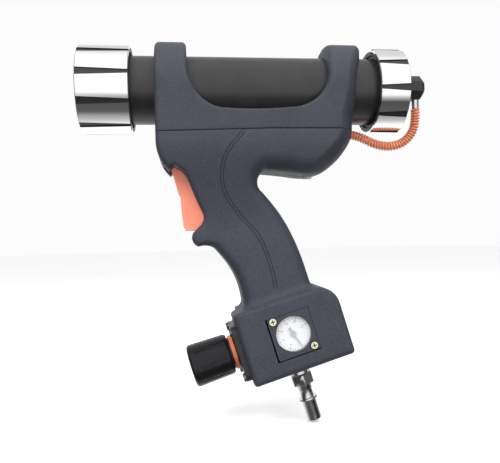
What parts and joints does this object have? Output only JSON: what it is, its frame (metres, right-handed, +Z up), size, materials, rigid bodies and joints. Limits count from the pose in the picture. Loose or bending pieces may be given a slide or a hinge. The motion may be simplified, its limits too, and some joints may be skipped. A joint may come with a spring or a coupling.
{
  "type": "caulking gun",
  "caption": "Compressed-air caulking gun for rigid cartridges: barrel with screw caps, pistol grip, trigger, and a regulator with gauge and air plug.",
  "frame": {"origin": "centre of the nozzle opening, in the front nut's front face", "axes": "+X along the barrel to the rear cap, +Y to the gun's right, +Z up, the grip hangs down"},
  "size_m": [0.2877, 0.072, 0.3172],
  "materials": {
    "black_tube": "black anodised aluminium, fine satin",
    "chrome": "polished chrome",
    "black_insert": "black nylon",
    "housing": "soft-touch matte slate grey",
    "trigger_coral": "coral moulded plastic",
    "hose_orange": "orange polyurethane",
    "knob_black": "black satin plastic",
    "ring_orange": "orange indicator ring",
    "steel": "bright nickel-plated steel",
    "zinc": "yellow zinc plate",
    "spring_steel": "spring wire",
    "brass": "machined brass",
    "cast_aluminium": "die-cast aluminium",
    "seal_rubber": "nitrile rubber",
    "tube_blue": "polyurethane air line",
    "dial_white": "printed white dial",
    "needle_grey": "painted pointer",
    "lens_clear": "clear lens",
    "silencer_white": "sintered plastic",
    "elbow_black": "black glass-filled nylon"
  },
  "bodies": {
    "housing": {"barrel_tube": "black_tube", "air_hose": "hose_orange", "hose_guard": "hose_orange", "hose_outlet_fitting": "black_insert", "barrel_cradle": "housing", "grip_left_shell": "housing", "grip_right_shell": "housing", "housing_screws": "steel", "cradle_screws": "steel", "exhaust_silencer": "silencer_white", "trigger_pin": "steel", "valve_body": "brass", "valve_spring": "spring_steel", "air_tube_lower": "tube_blue", "air_tube_upper": "tube_blue", "regulator_body": "cast_aluminium", "regulator_outlet_fitting": "brass", "regulator_bonnet": "black_insert", "bonnet_screws": "steel", "diaphragm": "seal_rubber", "regulator_spring": "spring_steel", "lock_ring": "ring_orange", "regulator_poppet": "brass", "poppet_spring": "spring_steel", "regulator_bottom_plug": "brass", "gauge_case": "housing", "gauge_dial": "dial_white", "gauge_lens": "lens_clear", "gauge_screws": "zinc", "inlet_plug": "steel", "plug_washer": "steel"},
    "front_thrust": {"front_washer": "steel"},
    "front_cap": {"front_nut": "chrome", "front_nut_insert": "black_insert"},
    "rear_plug": {"rear_end_plate": "cast_aluminium", "rear_o_ring": "seal_rubber", "cartridge_gasket": "seal_rubber", "hose_elbow": "elbow_black", "hose_ferrule": "steel"},
    "rear_cap": {"rear_nut": "chrome", "rear_nut_insert": "black_insert"},
    "trigger": {"trigger": "trigger_coral"},
    "valve_stem": {"valve_stem": "steel", "valve_seals": "seal_rubber"},
    "adjusting_screw": {"adjusting_screw": "steel"},
    "regulator_knob": {"regulator_knob": "knob_black"},
    "spring_seat": {"spring_seat": "brass"},
    "gauge_needle": {"gauge_needle": "needle_grey"}
  },
  "joints": [
    {"name": "front_cap_travel", "type": "slide", "parent": "housing", "child": "front_thrust", "axis": [-1, 0, 0], "range_m": [0, 0.01205]},
    {"name": "front_cap_turn", "type": "hinge", "parent": "front_thrust", "child": "front_cap", "pos_m": [0.02, 0, 0], "axis": [-1, 0, 0], "range_deg": [0, 1080]},
    {"name": "rear_cap_travel", "type": "slide", "parent": "housing", "child": "rear_plug", "axis": [1, 0, 0], "range_m": [0, 0.01205], "deforming": ["air_hose", "hose_guard"]},
    {"name": "rear_cap_turn", "type": "hinge", "parent": "rear_plug", "child": "rear_cap", "pos_m": [0.25, 0, 0], "axis": [1, 0, 0], "range_deg": [0, 1080]},
    {"name": "trigger_pull", "type": "hinge", "parent": "housing", "child": "trigger", "pos_m": [0.079, 0, -0.058], "axis": [0, -1, 0], "range_deg": [0, 8], "stiffness_Nm_per_rad": 2, "springref_deg": -11.46},
    {"name": "valve_stem_travel", "type": "slide", "parent": "housing", "child": "valve_stem", "axis": [1, 0, 0], "range_m": [0, 0.005], "deforming": ["valve_spring"]},
    {"name": "pressure_adjust", "type": "hinge", "parent": "housing", "child": "adjusting_screw", "pos_m": [0.11561, 0, -0.21844], "axis": [0.9588, 0, 0.284], "range_deg": [0, 1440]},
    {"name": "knob_push_lock", "type": "slide", "parent": "adjusting_screw", "child": "regulator_knob", "axis": [0.9588, 0, 0.284], "range_m": [0, 0.004]},
    {"name": "spring_seat_travel", "type": "slide", "parent": "housing", "child": "spring_seat", "axis": [0.9588, 0, 0.284], "range_m": [0, 0.00605], "deforming": ["regulator_spring"]},
    {"name": "gauge_needle_turn", "type": "hinge", "parent": "housing", "child": "gauge_needle", "pos_m": [0.16467, -0.024, -0.20026], "axis": [0, 1, 0], "range_deg": [0, 270], "stiffness_Nm_per_rad": 0.0002, "springref_deg": -17.19}
  ],
  "couplings": [
    {"joint": "front_cap_travel", "follows": "front_cap_turn", "m_per_rad": 0.00063662},
    {"joint": "rear_cap_travel", "follows": "rear_cap_turn", "m_per_rad": 0.00063662},
    {"joint": "valve_stem_travel", "follows": "trigger_pull", "m_per_rad": 0.0345},
    {"joint": "spring_seat_travel", "follows": "pressure_adjust", "m_per_rad": 0.00023873}
  ]
}
